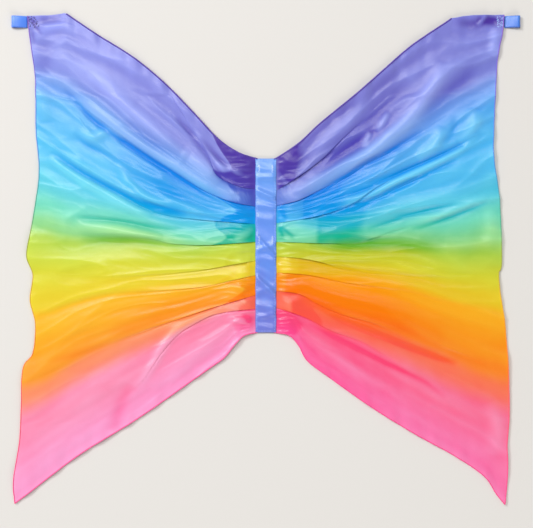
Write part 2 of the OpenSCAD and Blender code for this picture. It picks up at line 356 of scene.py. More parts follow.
# How softly the doubled cloth ends (mm), and how much deeper the dye looks at the top and at the foot
SPREAD = {"left": 3, "right": 16}
FULLER = {"left": (0.0, 0.0), "right": (0.2, 0.3)}
# How much deeper the dye looks where the cloth is gathered, and where the blue band deepens (mm out)
GATHERED = {"left": 0.12, "right": 0.24}
BLUE_DEEPENS = {"left": (120, 175), "right": (0, 20)}


class Drape:
    """The lie of one wing's silk: plan positions and heights over the flat cloth."""

    def __init__(self, side):
        self.side = side
        self.sign = SIDE_SIGN[side]
        self.top = smooth_line(TOP_EDGE[side])
        self.bottom = smooth_line(BOTTOM_EDGE[side])
        self.outer = smooth_line(OUTER_EDGE[side])
        self.pleats = [dict(p, line=smooth_line(p["line"])) for p in PLEATS[side]]
        self.borders = [smooth_line(b) for b in DYE_BORDERS[side]]

    def edge_points(self, s):
        """The wing's top and bottom points for a column at share s of the way out."""
        top_out = UNDER_RIBBON + s * (TOP_EDGE[self.side][-1][0] - UNDER_RIBBON)
        low_out = UNDER_RIBBON + s * (BOTTOM_EDGE[self.side][-1][0] - UNDER_RIBBON)
        return (np.array([top_out, height_at(self.top, top_out)]),
                np.array([low_out, height_at(self.bottom, low_out)]))

    def plan(self, s, t):
        """Plan points (out, up) at share s out from the spine and shares t down the wing."""
        top, low = self.edge_points(s)
        out = top[0] + (low[0] - top[0]) * t
        up = top[1] + (low[1] - top[1]) * t
        corner, tip = TOP_EDGE[self.side][-1], BOTTOM_EDGE[self.side][-1]
        edge_up = corner[1] + (tip[1] - corner[1]) * t
        edge_out = np.interp(-edge_up, -self.outer[:, 1], self.outer[:, 0])
        straight_out = corner[0] + (tip[0] - corner[0]) * t
        return out + s**5 * (edge_out - straight_out), up

    def column(self, s, v):
        """Shares down the wing, heights, depth of dye and tucked-under cloth for column s."""
        top, low = self.edge_points(s)
        out = 0.5 * (top[0] + low[0])
        span = top[1] - low[1]
        share = lambda up: (top[1] - up) / span
        border = [share(height_at(b, out)) for b in self.borders]
        flat_at, draped_at = [0.0] + BORDER_SHARE + [1.0], [0.0] + border + [1.0]
        v_nodes, t_nodes, z_nodes = [0.0], [0.0], [REST]
        deeps, tucks = [], []
        # A pleat takes up cloth: three layers lie over each other along its tuck
        for p in self.pleats:
            t_fold = np.clip(share(height_at(p["line"], out)), t_nodes[-1] + CLEAR, 1 - 2 * CLEAR)
            fade = 1 - ease(out, p["ends"] - 90, p["ends"])
            tuck = p["tuck"] * (1 - ease(out, 0.35 * p["opens"], p["opens"]))
            hidden = 0.55 * tuck / span + CLEAR / 2
            centre = np.interp(t_fold, draped_at, flat_at)
            # The ribbon holds the pleats down beside it
            rise = 0.5 * p["rise"] * fade * (0.25 + 0.75 * ease(out, 22, 80))
            lift = (REST - LOW) * (1 - fade)
            before = max(centre - hidden, v_nodes[-1] + CLEAR)
            centre = max(centre, before + CLEAR / 2)
            after = max(centre + hidden, centre + CLEAR / 2)
            v_nodes.append(v_nodes[-1] + SHOULDER * (before - v_nodes[-1]))
            t_nodes.append(t_nodes[-1] + SHOULDER * (t_fold - t_nodes[-1]))
            z_nodes.append(LOW + 0.72 * rise + lift)
            deeps.append((t_nodes[-2], t_fold, p["deep"]))
            tucks.append((before, after))
            v_nodes += [before, centre, after]
            # The layer beneath comes out from a little way in under the fold
            emerges = t_fold + 0.0015 - UNDERLAP * tuck / p["tuck"]
            t_nodes += [t_fold, t_fold - tuck / span, emerges]
            z_nodes += [LOW + rise + lift, LOW + 0.2 * rise + lift, LOW + lift]
        v_nodes.append(1.0), t_nodes.append(1.0), z_nodes.append(REST)
        t = np.interp(v, v_nodes, t_nodes)
        z = np.interp(v, v_nodes, z_nodes)
        soft = 2.4 + 4.7 * ease(out, 90, 330)
        t, z = self.soften(t, soft), self.soften(z, soft)
        layers = np.zeros_like(t)
        for start, fold, (near, far, amount) in deeps:
            shown = ease(out, near - 12, near + 4) if near > UNDER_RIBBON else 1.0
            across = (t - start) / (fold - start)
            edge = far - 22 * (1 - (2 * across - 1) ** 2) + 9 * np.sin(7 * across + far)
            inside = (t > start) * (t <= fold)
            spread = SPREAD[self.side]
            beyond = ease(out, edge - spread, edge + spread)
            layers = np.maximum(layers, inside * shown * amount * (1 - beyond))
        under = np.zeros_like(t)
        for before, after in tucks:
            under = np.maximum(under, ease(v, before, before + 0.003) * (1 - ease(v, after, after + 0.006)))
        return t, z, layers, under

    def soften(self, values, width_mm):
        """Rounds the folds of one column over a width in mm of cloth."""
        step = SILK_SIDE / (len(values) - 1)
        reach = max(1, int(3 * width_mm / step))
        k = np.exp(-0.5 * (np.arange(-reach, reach + 1) * step / width_mm) ** 2)
        padded = np.concatenate([2 * values[0] - values[reach:0:-1], values,
                                 2 * values[-1] - values[-2:-reach - 2:-1]])
        return np.convolve(padded, k / k.sum(), "valid")


def soft_folds(side, out, up):
    """The height that the soft folds add at plan points, and the painted shade and highlight they lay on the dye.
    """
    height, fold_shade_and_highlight = np.zeros_like(out), np.zeros_like(out)
    for rise, width, deeper, points in FOLDS[side]:
        line = smooth_line(points, 8)
        best = np.full(out.shape, 1e9)
        along = np.zeros_like(out)
        count = len(line) - 1
        for i, (a, b) in enumerate(zip(line[:-1], line[1:])):
            d = b - a
            f = np.clip(((out - a[0]) * d[0] + (up - a[1]) * d[1]) / (d @ d), 0, 1)
            gap = np.hypot(out - a[0] - f * d[0], up - a[1] - f * d[1])
            nearer = gap < best
            best = np.where(nearer, gap, best)
            along = np.where(nearer, (i + f) / count, along)
        taper = np.sin(np.pi * np.clip(along, 0, 1)).clip(0) ** 0.7
        height += rise * taper * np.exp(-0.5 * (best / width) ** 2)
        fold_shade_and_highlight += deeper * taper * np.exp(-0.5 * (best / (1.1 * width)) ** 2)
    return height, fold_shade_and_highlight


def ripples(side, s, v):
    """Low, uneven waves that run out along the cloth, and puckers along its hems."""
    shift = 0.0 if side == "left" else 1.9
    waves = [(9.0, 2.1, 0.45, 0.3), (14.0, -3.0, 0.35, 1.7), (23.0, 4.2, 0.22, 2.9), (37.0, -6.3, 0.12, 0.8)]
    total = sum(size * np.sin(2 * np.pi * (across * v + 0.16 * along * s) + phase + shift)
                for across, along, size, phase in waves)
    total *= 0.35 + 0.65 * ease(s, 0.05, 0.4)
    near_hem = np.exp(-v / 0.022) + np.exp(-(1 - v) / 0.03)
    total += near_hem * (0.9 * np.sin(62 * s + shift) + 0.5 * np.sin(107 * s + 1 + shift)) * ease(s, 0.1, 0.25)
    near_edge = np.exp(-(1 - s) / 0.05)
    total += near_edge * (1.0 * np.sin(41 * v + shift) + 0.6 * np.sin(73 * v + 2 + shift))
    return total


def crumples(side, s, v):
    """Small creases where the cloth was bunched, drawn out along the pleats."""
    seed = 3.7 if side == "left" else 11.2
    total = np.zeros(s.shape)
    for along, across, size in ((1.5, 11.0, 3.0), (3.0, 23.0, 1.4), (9.0, 45.0, 0.22)):
        field = np.array([noise.noise(Vector((along * a + seed, across * b, 0.35 * seed)))
                          for a, b in zip(s.ravel(), v.ravel())]).reshape(s.shape)
        total += size * ((1 - 2.2 * np.abs(field)).clip(0) ** 2 - 0.35)
    return total


def gathers(side, out, up):
    """The puff of the silk where it leaves the ribbon, with the small folds of its gathers."""
    seed = 1.3 if side == "left" else 8.6
    fine = np.array([noise.noise(Vector((a / 42 + seed, b / 10, seed))) for a, b in zip(out.ravel(), up.ravel())])
    broad = np.array([noise.noise(Vector((a / 50, b / 19 + seed, 0.2))) for a, b in zip(out.ravel(), up.ravel())])
    fine, broad = fine.reshape(out.shape), broad.reshape(out.shape)
    puff = np.exp(-(((out - 44) / 20) ** 2)) * (2.6 + 2.4 * broad)
    folds = (1 - 2.0 * np.abs(fine)).clip(0) * 1.9 * np.exp(-((out - 20).clip(0) / 42) ** 2)
    return (puff + folds) * ease(out, RIBBON_HALF - 1, RIBBON_HALF + 12)


def wing_points(side):
    """Grid of the wing's silk: points in mm, flat-cloth shares, and layer weights with painted shade and
    highlight.
    """
    drape = Drape(side)
    v = np.linspace(0, 1, ROWS)
    s_all = np.linspace(0, 1, COLUMNS) ** 1.15
    out, up, z, layers_and_shade, under = (np.zeros((ROWS, COLUMNS)) for _ in range(5))
    for c, s in enumerate(s_all):
        t, z[:, c], layers_and_shade[:, c], under[:, c] = drape.column(s, v)
        out[:, c], up[:, c] = drape.plan(s, t)
    s_grid, v_grid = np.meshgrid(s_all, v)
    off_spine = ease(out, RIBBON_HALF + 4, 70)
    # The soft folds lay painted shade along their hollows and a painted highlight along their ridges.
    folds, fold_shade_and_highlight = soft_folds(side, out, up)
    flatter = 1 - 0.6 * ease(v_grid, 0.5, 0.72)
    loose = 1 - 0.4 * under * (1 - ease(out, 150, 260))
    creases = flatter * crumples(side, s_grid, v_grid)
    z += loose * off_spine * (folds + ripples(side, s_grid, v_grid) + creases + LOFT)
    z += loose * gathers(side, out, up)
    z = np.where(out < RIBBON_HALF + 6, np.minimum(z, 2.9 + 0.25 * (out - RIBBON_HALF).clip(0)), z)
    z = np.maximum(z, 1.95 - 1.0 * ease(out, 100, 150))
    # Painted shade: the dye is deepened where the cloth lies below the cloth around it, and lightened as a
    # painted highlight where it stands above.
    around = np.stack([drape.soften(column, 13) for column in z.T], -1)
    hollow = ((around - z) / 2.2).clip(-1, 1) * ease(out, RIBBON_HALF, RIBBON_HALF + 25)
    blue = ease(v_grid, 0.14, 0.20) * (1 - ease(v_grid, 0.34, 0.42))
    gathered = (GATHERED[side] + 0.30 * blue * ease(out, *BLUE_DEEPENS[side])) * (1 - ease(out, 120, 300))
    fuller = FULLER[side][0] + FULLER[side][1] * ease(v_grid, 0.45, 0.8)
    layers_and_shade = (np.maximum(layers_and_shade, gathered) + fuller + fold_shade_and_highlight + 0.3 * hollow).clip(-0.5, 1)
    return out, up, z, s_grid, v_grid, layers_and_shade


def silk_wing(side, grid):
    """One wing's silk, with the flat cloth as its UV map and its layers, with painted shade and highlight, as an
    attribute.
    """
    out, up, z, s_grid, v_grid, layers_and_shade = grid
    points = np.stack([SIDE_SIGN[side] * out, up, z], -1).reshape(-1, 3) * MM
    wing = mesh_piece(side + "_silk", points, sheet_faces(ROWS, COLUMNS, flip=side == "left"))
    shade_smooth(wing)
    flat_map(wing, "flat_cloth", np.stack([s_grid * SILK_HALF, (1 - v_grid) * SILK_SIDE], -1))
    # The layers attribute holds the doubled cloth together with painted shade in hollows and creases and painted
    # highlight on ridges.
    layers = wing.data.attributes.new("layers", "FLOAT", "POINT")
    layers.data.foreach_set("value", layers_and_shade.ravel().astype(np.float32))
    return wing


# ---------------------------------------------------------------- materials
def new_material(name):
    material = bpy.data.materials.new(name)
    material.use_nodes = True
    nodes, links = material.node_tree.nodes, material.node_tree.links
    return material, nodes, links, nodes["Principled BSDF"]


def srgb(code):
    """A linear colour from a hex code."""
    values = [int(code[i:i + 2], 16) / 255 for i in (1, 3, 5)]
    return [v / 12.92 if v <= 0.04045 else ((v + 0.055) / 1.055) ** 2.4 for v in values] + [1.0]


def ramp_node(nodes, stops):
    ramp = nodes.new("ShaderNodeValToRGB")
    ramp.color_ramp.interpolation = "EASE"
    elements = ramp.color_ramp.elements
    while len(elements) > 1:
        elements.remove(elements[-1])
    elements[0].position, elements[0].color = stops[0][0], srgb(stops[0][1])
    for place, code in stops[1:]:
        elements.new(place).color = srgb(code)
    return ramp


def maths(nodes, links, kind, a, b=None, clamp=False, c=None):
    node = nodes.new("ShaderNodeMath")
    node.operation = kind
    node.use_clamp = clamp
    for socket, value in zip(node.inputs, (a, b, c)):
        if value is None:
            continue
        if isinstance(value, (int, float)):
            socket.default_value = value
        else:
            links.new(value, socket)
    return node.outputs[0]


def noise_node(nodes, links, place, scale, detail=2.0):
    """The strength of a cloudy noise at a place."""
    clouds = nodes.new("ShaderNodeTexNoise")
    clouds.inputs["Scale"].default_value = scale
    clouds.inputs["Detail"].default_value = detail
    links.new(place, clouds.inputs["Vector"])
    return clouds.outputs["Fac"]


def either_way(nodes, links, strength, reach):
    """A strength from 0 to 1 made an offset that goes half of reach either way."""
    return maths(nodes, links, "MULTIPLY", maths(nodes, links, "SUBTRACT", strength, 0.5), reach)


def down_the_cloth(nodes, links, flat):
    """The share of the flat cloth's side, from its top hem."""
    split = nodes.new("ShaderNodeSeparateXYZ")
    links.new(flat, split.inputs[0])
    return maths(nodes, links, "SUBTRACT", 1.0, maths(nodes, links, "DIVIDE", split.outputs["Y"], SILK_SIDE * MM))


# Colours down the cloth from the top hem: where one layer lets light through, and where it is doubled;
# the doubled colour also serves as painted shade in hollows and creases
DYE = [(0.0, "#a4aeff"), (0.10, "#a6b4ff"), (0.15, "#94c0ff"), (0.20, "#7ad0ff"), (0.30, "#70daff"),
       (0.36, "#7ce6fa"), (0.41, "#92f2d8"), (0.455, "#b0f0a8"), (0.50, "#d4ec60"), (0.56, "#eaec4c"),
       (0.61, "#f4e640"), (0.645, "#fed038"), (0.70, "#ffc234"), (0.76, "#ffb63c"), (0.80, "#ffaa7c"),
       (0.85, "#ffa8cc"), (1.0, "#ffbeee")]
DEEP_DYE = [(0.0, "#553cac"), (0.11, "#5046bc"), (0.17, "#0c88ee"), (0.24, "#009cf2"), (0.32, "#00a4f2"),
            (0.38, "#00b8d6"), (0.43, "#10c09c"), (0.48, "#66b830"), (0.53, "#c6c600"), (0.60, "#eabc00"),
            (0.645, "#ffa400"), (0.72, "#ff8600"), (0.77, "#ff7018"), (0.81, "#ff5c4c"), (0.86, "#ff4c80"),
            (1.0, "#ff4c98")]


DYE_WANDER = 0.03
DYE_BLOTCHES = 0.22
SINGLE_DEPTH = 0.27
LAYER_DEPTH = 0.76
SEEN_THROUGH = 0.30


def dyed_silk():
    """Light habotai silk, glossy and half see-through, dyed in soft bands down the cloth."""
    material, nodes, links, shader = new_material("dyed_silk")
    cloth = nodes.new("ShaderNodeUVMap")
    cloth.uv_map = "flat_cloth"
    wander = either_way(nodes, links, noise_node(nodes, links, cloth.outputs["UV"], 7, 3), DYE_WANDER)
    share = maths(nodes, links, "ADD", down_the_cloth(nodes, links, cloth.outputs["UV"]), wander)
    light, deep = ramp_node(nodes, DYE), ramp_node(nodes, DEEP_DYE)
    links.new(share, light.inputs["Fac"])
    links.new(share, deep.inputs["Fac"])
    # Painted shade: the layers attribute deepens the dye in hollows and creases as well as where the cloth is
    # doubled, and lightens it on ridges as a painted highlight.
    layers = nodes.new("ShaderNodeAttribute")
    layers.attribute_name = "layers"
    blotches = either_way(nodes, links, noise_node(nodes, links, cloth.outputs["UV"], 30, 5), DYE_BLOTCHES)
    deeper = maths(nodes, links, "MULTIPLY_ADD", layers.outputs["Fac"], LAYER_DEPTH, c=SINGLE_DEPTH)
    depth = maths(nodes, links, "ADD", deeper, blotches, True)
    dye = nodes.new("ShaderNodeMix")
    dye.data_type = "RGBA"
    links.new(depth, dye.inputs["Factor"])
    links.new(light.outputs["Color"], dye.inputs["A"])
    links.new(deep.outputs["Color"], dye.inputs["B"])
    links.new(dye.outputs["Result"], shader.inputs["Base Color"])
    shader.inputs["Roughness"].default_value = 0.28
    shader.inputs["Specular IOR Level"].default_value = 0.42
    shader.inputs["Sheen Weight"].default_value = 0.02
    shader.inputs["Sheen Roughness"].default_value = 0.4
    weave = silk_weave(nodes, links, cloth.outputs["UV"])
    links.new(weave, shader.inputs["Normal"])
    through = nodes.new("ShaderNodeBsdfTranslucent")
    links.new(dye.outputs["Result"], through.inputs["Color"])
    both = nodes.new("ShaderNodeMixShader")
    both.inputs["Fac"].default_value = SEEN_THROUGH
    links.new(shader.outputs[0], both.inputs[1])
    links.new(through.outputs[0], both.inputs[2])
    links.new(both.outputs[0], nodes["Material Output"].inputs["Surface"])
    return material


def raised(nodes, links, height, strength, distance):
    """A bump from a height, with its strength and its depth in metres."""
    bump = nodes.new("ShaderNodeBump")
    bump.inputs["Strength"].default_value = strength
    bump.inputs["Distance"].default_value = distance
    links.new(height, bump.inputs["Height"])
    return bump.outputs["Normal"]


def silk_weave(nodes, links, cloth):
    """Fine plain weave with slubs: threads crossing at right angles on the flat cloth."""
    heights = []
    for direction in ("X", "Y"):
        threads = nodes.new("ShaderNodeTexWave")
        threads.bands_direction = direction
        threads.inputs["Scale"].default_value = 900
        links.new(cloth, threads.inputs["Vector"])
        heights.append(threads.outputs["Fac"])
    woven = maths(nodes, links, "MAXIMUM", heights[0], heights[1])
    stretch = nodes.new("ShaderNodeMapping")
    stretch.inputs["Scale"].default_value = (6, 90, 1)
    links.new(cloth, stretch.inputs["Vector"])
    slubs = noise_node(nodes, links, stretch.outputs["Vector"], 6, 4)
    surface = maths(nodes, links, "ADD", maths(nodes, links, "MULTIPLY", woven, 0.25), slubs)
    return raised(nodes, links, surface, 0.12, 0.0008)


def put_on(piece, material):
    piece.data.materials.clear()
    piece.data.materials.append(material)


# ---------------------------------------------------------------- satin, thread, elastic, tape
def object_place(nodes):
    return nodes.new("ShaderNodeTexCoord").outputs["Object"]


def threads_across(nodes, links, place, direction, per_metre, strength, distance):
    """Ribs from threads that follow each other in one direction."""
    ribs = nodes.new("ShaderNodeTexWave")
    ribs.bands_direction = direction
    ribs.inputs["Scale"].default_value = per_metre
    ribs.inputs["Distortion"].default_value = 0.4
    links.new(place, ribs.inputs["Vector"])
    return raised(nodes, links, ribs.outputs["Fac"], strength, distance)


def satin_ribbon(name, top, middle, foot, low, high):
    """Polyester satin: a smooth glossy face with fine weft, shading softly along its length."""
    material, nodes, links, shader = new_material(name)
    place = object_place(nodes)
    split = nodes.new("ShaderNodeSeparateXYZ")
    links.new(place, split.inputs[0])
    along = nodes.new("ShaderNodeMapRange")
    along.inputs["From Min"].default_value = low * MM
    along.inputs["From Max"].default_value = high * MM
    links.new(split.outputs["Y"], along.inputs["Value"])
    drift = either_way(nodes, links, noise_node(nodes, links, place, 45, 3), 0.5)
    colours = ramp_node(nodes, [(0.0, foot), (0.5, middle), (1.0, top)])
    links.new(maths(nodes, links, "ADD", along.outputs["Result"], drift), colours.inputs["Fac"])
    links.new(colours.outputs["Color"], shader.inputs["Base Color"])
    shader.inputs["Roughness"].default_value = 0.34
    shader.inputs["Specular IOR Level"].default_value = 0.8
    shader.inputs["Sheen Weight"].default_value = 0.12
    shader.inputs["Sheen Roughness"].default_value = 0.35
    links.new(threads_across(nodes, links, place, "Y", 1500, 0.08, 0.0003), shader.inputs["Normal"])
    return material


def sewing_thread(name, dark, light):
    material, nodes, links, shader = new_material(name)
    shades = ramp_node(nodes, [(0.3, dark), (0.7, light)])
    links.new(noise_node(nodes, links, object_place(nodes), 900), shades.inputs["Fac"])
    links.new(shades.outputs["Color"], shader.inputs["Base Color"])
    shader.inputs["Roughness"].default_value = 0.5
    shader.inputs["Sheen Weight"].default_value = 0.3
    links.new(threads_across(nodes, links, object_place(nodes), "DIAGONAL", 700, 0.4, 0.0002),
              shader.inputs["Normal"])
    return material


def rolled_silk(name, stops):
    """The dyed cloth rolled tight: deeper in colour, with the dye running down the edge."""
    material, nodes, links, shader = new_material(name)
    edge = nodes.new("ShaderNodeUVMap")
    edge.uv_map = "flat_cloth"
    colours = ramp_node(nodes, stops)
    wander = either_way(nodes, links, noise_node(nodes, links, object_place(nodes), 260), 0.02)
    share = down_the_cloth(nodes, links, edge.outputs["UV"])
    links.new(maths(nodes, links, "ADD", share, wander), colours.inputs["Fac"])
    links.new(colours.outputs["Color"], shader.inputs["Base Color"])
    shader.inputs["Roughness"].default_value = 0.5
    shader.inputs["Sheen Weight"].default_value = 0.2
    links.new(threads_across(nodes, links, object_place(nodes), "DIAGONAL", 330, 0.3, 0.0004),
              shader.inputs["Normal"])
    return material


def ribbed_elastic():
    material, nodes, links, shader = new_material("elastic_tape")
    tape = nodes.new("ShaderNodeUVMap")
    tape.uv_map = "flat_tape"
    shades = ramp_node(nodes, [(0.0, "#4f6fd2"), (1.0, "#6d8fe8")])
    ribs = nodes.new("ShaderNodeTexWave")
    ribs.bands_direction = "Y"
    ribs.inputs["Scale"].default_value = 260
    links.new(tape.outputs["UV"], ribs.inputs["Vector"])
    links.new(ribs.outputs["Fac"], shades.inputs["Fac"])
    links.new(shades.outputs["Color"], shader.inputs["Base Color"])
    shader.inputs["Roughness"].default_value = 0.7
    links.new(threads_across(nodes, links, tape.outputs["UV"], "X", 320, 0.5, 0.0004), shader.inputs["Normal"])
    return material


def plain_tape():
    material, nodes, links, shader = new_material("label_tape")
    shades = ramp_node(nodes, [(0.3, "#e6e5df"), (0.7, "#f6f5f1")])
    links.new(noise_node(nodes, links, object_place(nodes), 700), shades.inputs["Fac"])
    links.new(shades.outputs["Color"], shader.inputs["Base Color"])
    shader.inputs["Roughness"].default_value = 0.75
    links.new(threads_across(nodes, links, object_place(nodes), "X", 900, 0.3, 0.0003), shader.inputs["Normal"])
    return material


# ---------------------------------------------------------------- the spine
# Sizes in mm
STITCH_LINE = 16.4
STITCH_PITCH = 5.0
RIBBON_MARGIN = 2.6
# How much of the front ribbon's rise shows on the back one
BACK_RISE = 0.18
# Folds of the ribbon over the pleats: height up the spine at its left and right edge, rise, width
RIBBON_FOLDS = [(166, 160, 0.8, 6), (150, 149, 1.2, 5), (127, 110, 1.5, 5), (100, 92, 0.9, 4.5),
                (76, 70, 0.6, 6), (45, 2, 1.1, 4.5), (16, 26, 1.2, 5), (2, -6, 0.9, 6),
                (-32, -66, 1.6, 5), (-62, -50, 0.6, 5), (-82, -92, 1.1, 6), (-108, -100, 0.9, 5),
                (-122, -128, 0.7, 5)]


def ribbon_rise(x, y):
    """How far the pleats beneath push the ribbon up, with puckers between its stitches."""
    across = 0.5 + 0.5 * x / RIBBON_HALF
    folds = np.zeros_like(x + y, dtype=float)
    for left, right, rise, width in RIBBON_FOLDS:
        line = left + (right - left) * across
        folds += 2.3 * rise * np.exp(-(((y - line) / (1.3 * width)) ** 2))
    pleat = 0.22 * np.sin(0.19 * y + 0.9 * np.sin(0.045 * y) + 0.035 * x)
    crease = 0.18 * np.sin(0.33 * y + 0.21 * x + 2.0 * np.sin(0.06 * y))
    middle = np.clip(1 - (np.abs(x) / RIBBON_HALF) ** 6, 0, 1)
    seam = np.exp(-(((np.abs(x) - STITCH_LINE) / 0.9) ** 2))
    pucker = -0.85 * seam * (0.5 + 0.5 * np.cos(2 * np.pi * y / STITCH_PITCH))
    return 0.4 + middle * (folds + pleat + crease) + pucker


def spine_ribbon(name, height, facing):
    """A satin ribbon over the gathers: facing 1 lies on top of them, -1 beneath."""
    columns, rows = 31, 231
    x, y = np.meshgrid(np.linspace(-RIBBON_HALF, RIBBON_HALF, columns), np.linspace(SPINE_TOP, SPINE_FOOT, rows))
    edge_wave = 0.25 * np.sin(0.21 * y) * (x / RIBBON_HALF)
    z = height + facing * (ribbon_rise(x, y) if facing > 0 else BACK_RISE * ribbon_rise(x, y) - 0.1)
    ribbon = mesh_piece(name, np.stack([x + edge_wave, y, z], -1).reshape(-1, 3) * MM, sheet_faces(rows, columns))
    finish_with(ribbon, "SOLIDIFY", thickness=0.35 * MM, offset=-1 if facing > 0 else 1)
    shade_smooth(ribbon)
    return ribbon


def stitch_blank(name, length, width, height):
    """One stitch: a bead of thread pulled down at both ends."""
    bpy.ops.object.select_all(action="DESELECT")
    bpy.ops.mesh.primitive_uv_sphere_add(segments=8, ring_count=6, radius=0.5)
    blank = bpy.context.object
    blank.name = name
    blank.scale = (length, width, height)
    bpy.ops.object.transform_apply(location=False, rotation=False, scale=True)
    return blank


def sew(name, places, length=3.2, width=0.75, height=0.6):
    """Copies of one stitch at (x, y, z, turn), joined as one seam. Lengths in mm."""
    blank = stitch_blank(name, length * MM, width * MM, height * MM)
    bpy.ops.object.select_all(action="DESELECT")
    copies = []
    for x, y, z, turn in places:
        stitch = blank.copy()
        stitch.data = blank.data.copy()
        bpy.context.scene.collection.objects.link(stitch)
        stitch.location = (x * MM, y * MM, z * MM)
        stitch.rotation_euler = (0, 0, turn)
        copies.append(stitch)
        stitch.select_set(True)
    bpy.data.objects.remove(blank)
    bpy.context.view_layer.objects.active = copies[0]
    bpy.ops.object.join()
    seam = bpy.context.object
    seam.name = name
    only(seam)
    bpy.ops.object.transform_apply(location=True, rotation=True, scale=True)
    shade_smooth(seam)
    return seam


def spine_seam_places(height, facing):
    places = []
    for y in np.arange(SPINE_FOOT + RIBBON_MARGIN + 3, SPINE_TOP - RIBBON_MARGIN - 2, STITCH_PITCH):
        for x in (-STITCH_LINE, STITCH_LINE):
            sway = 0.25 * math.sin(1.7 * y + x)
            places.append((x + sway, y, seam_height(x, y, height, facing), math.pi / 2 + 0.06 * math.sin(y)))
    for y in (SPINE_FOOT + RIBBON_MARGIN, SPINE_TOP - RIBBON_MARGIN):
        for x in np.arange(-STITCH_LINE + 4.5, STITCH_LINE - 3.5, STITCH_PITCH):
            places.append((x, y, seam_height(x, y, height, facing), 0.05 * math.sin(3 * x)))
    return places


def seam_height(x, y, height, facing):
    rise = float(ribbon_rise(np.array(x), np.array(y)))
    return height + (rise if facing > 0 else 0.1 - BACK_RISE * rise)


def strap_tack_places(sign, height):
    """Zigzags through the ribbon, over the sewn ends of an arm strap."""
    places = []
    for middle in (165, 35):
        for i in range(6):
            y = middle + 2.4 * (i - 2.5)
            turn = 0.55 if i % 2 else -0.55
            places.append((sign * 12, y, seam_height(sign * 12, y, height, 1), turn))
    return places


def gathered_silk():
    """The silk between the ribbons, folded over itself, showing only at the spine's ends."""
    columns, rows = 9, 420
    v = np.linspace(0, 1, rows)
    drape = Drape("right")
    t, z, layers, under = drape.column(0.0, v)
    x, y = np.meshgrid(np.linspace(-UNDER_RIBBON - 1, UNDER_RIBBON + 1, columns),
                       SPINE_TOP + (SPINE_FOOT - SPINE_TOP) * t)
    z = np.repeat(np.clip(z, 1.9, 2.45)[:, None], columns, 1)
    middle = mesh_piece("gathered_silk", np.stack([x, y, z], -1).reshape(-1, 3) * MM, sheet_faces(rows, columns))
    shade_smooth(middle)
    down = np.repeat((1 - v[:, None]) * SILK_SIDE, columns, 1)
    flat_map(middle, "flat_cloth", np.stack([x + SILK_HALF, down], -1))
    return middle


# ---------------------------------------------------------------- hems
# The least gap in mm between a hem and the floor
HEM_CLEAR = 0.15


def rolled_hem(name, path, shares, half_width, half_height, pitch):
    """Cloth rolled along a path in mm, pinched by its thread at every pitch."""
    ring = 8
    length = np.concatenate([[0], np.cumsum(np.linalg.norm(np.diff(path, axis=0), axis=1))])
    count = max(12, int(length[-1] / 1.5))
    even = np.linspace(0, length[-1], count)
    path = np.stack([np.interp(even, length, path[:, i]) for i in range(3)], -1)
    path[:, 2] = np.maximum(path[:, 2], half_height + HEM_CLEAR)
    shares = np.interp(even, length, shares)
    along = np.gradient(path, axis=0)
    along /= np.linalg.norm(along, axis=1)[:, None]
    across = np.stack([along[:, 1], -along[:, 0], np.zeros(count)], -1)
    across /= np.linalg.norm(across, axis=1)[:, None]
    up = np.cross(across, along)
    up *= np.where(up[:, 2:] < 0, -1, 1)
    pinch = 1 - 0.16 * (0.5 + 0.5 * np.cos(2 * np.pi * even / pitch)) ** 3
    points = []
    for k in range(ring):
        a = 2 * np.pi * k / ring
        points.append(path + (half_width * math.cos(a) * pinch)[:, None] * across
                      + (half_height * math.sin(a) * pinch)[:, None] * up)
    points = np.stack(points, 1).reshape(-1, 3)
    faces = []
    for i in range(count - 1):
        for k in range(ring):
            a, b = i * ring + k, i * ring + (k + 1) % ring
            faces.append((a, b, b + ring, a + ring))
    faces += [tuple(range(ring))[::-1], tuple(range((count - 1) * ring, count * ring))]
    hem = mesh_piece(name, points * MM, faces)
    face_outwards(hem)
    shade_smooth(hem)
    flat_map(hem, "flat_cloth", np.repeat(np.stack([even, (1 - shares) * SILK_SIDE], -1), ring, 0))
    return hem


def wing_edge(side, grid, edge):
    """The silk's border points in mm and their shares down the flat cloth."""
    out, up, z, s_grid, v_grid, layers_and_shade = grid
    row = {"top": (0, slice(None)), "bottom": (-1, slice(None)), "outer": (slice(None), -1)}[edge]
    path = np.stack([SIDE_SIGN[side] * out[row], up[row], z[row]], -1)
    return path, v_grid[row], out[row]


# ---------------------------------------------------------------- corners and loops
# Sizes in mm; the loop's seam is where it turns, and its far end is where its ribbon folds
LOOP_SEAM_OUT = 436.3
LOOP_SEAM_HEIGHT = 1.2
LOOP_FAR = 465.0
LOOP_TOP = 444.0
LOOP_WIDTH = 21.0
LOOP_STITCHES = 22


def corner_facing(side, grid):
    """The silk's corner turned under: a second layer just below the wing."""
    out, up, z, s_grid, v_grid, layers_and_shade = grid
    fold_start = FOLD_CORNER[side]
    columns = np.where(out[0] >= fold_start + 2)[0]
    depth = 46
    faces, points, flat = [], [], []
    for row in range(depth):
        for c in columns:
            share = row / (depth - 1)
            reach = 0.052 * math.sin(math.pi * (0.12 + 0.80 * (c - columns[0]) / len(columns)))
            v = share * reach * (ROWS - 1)
            i, f = int(v), v - int(v)
            at = lambda g: g[i, c] * (1 - f) + g[min(i + 1, ROWS - 1), c] * f
            points.append((SIDE_SIGN[side] * (at(out) - 0.8), at(up) - 0.4, max(at(z) - 1.0 - 0.3 * share, 0.4)))
            flat.append((at(s_grid) * SILK_HALF, (1 - at(v_grid)) * SILK_SIDE))
    facing = mesh_piece(side + "_corner_facing", np.array(points) * MM,
                        sheet_faces(depth, len(columns), flip=side == "left"))
    shade_smooth(facing)
    flat_map(facing, "flat_cloth", flat)
    return facing


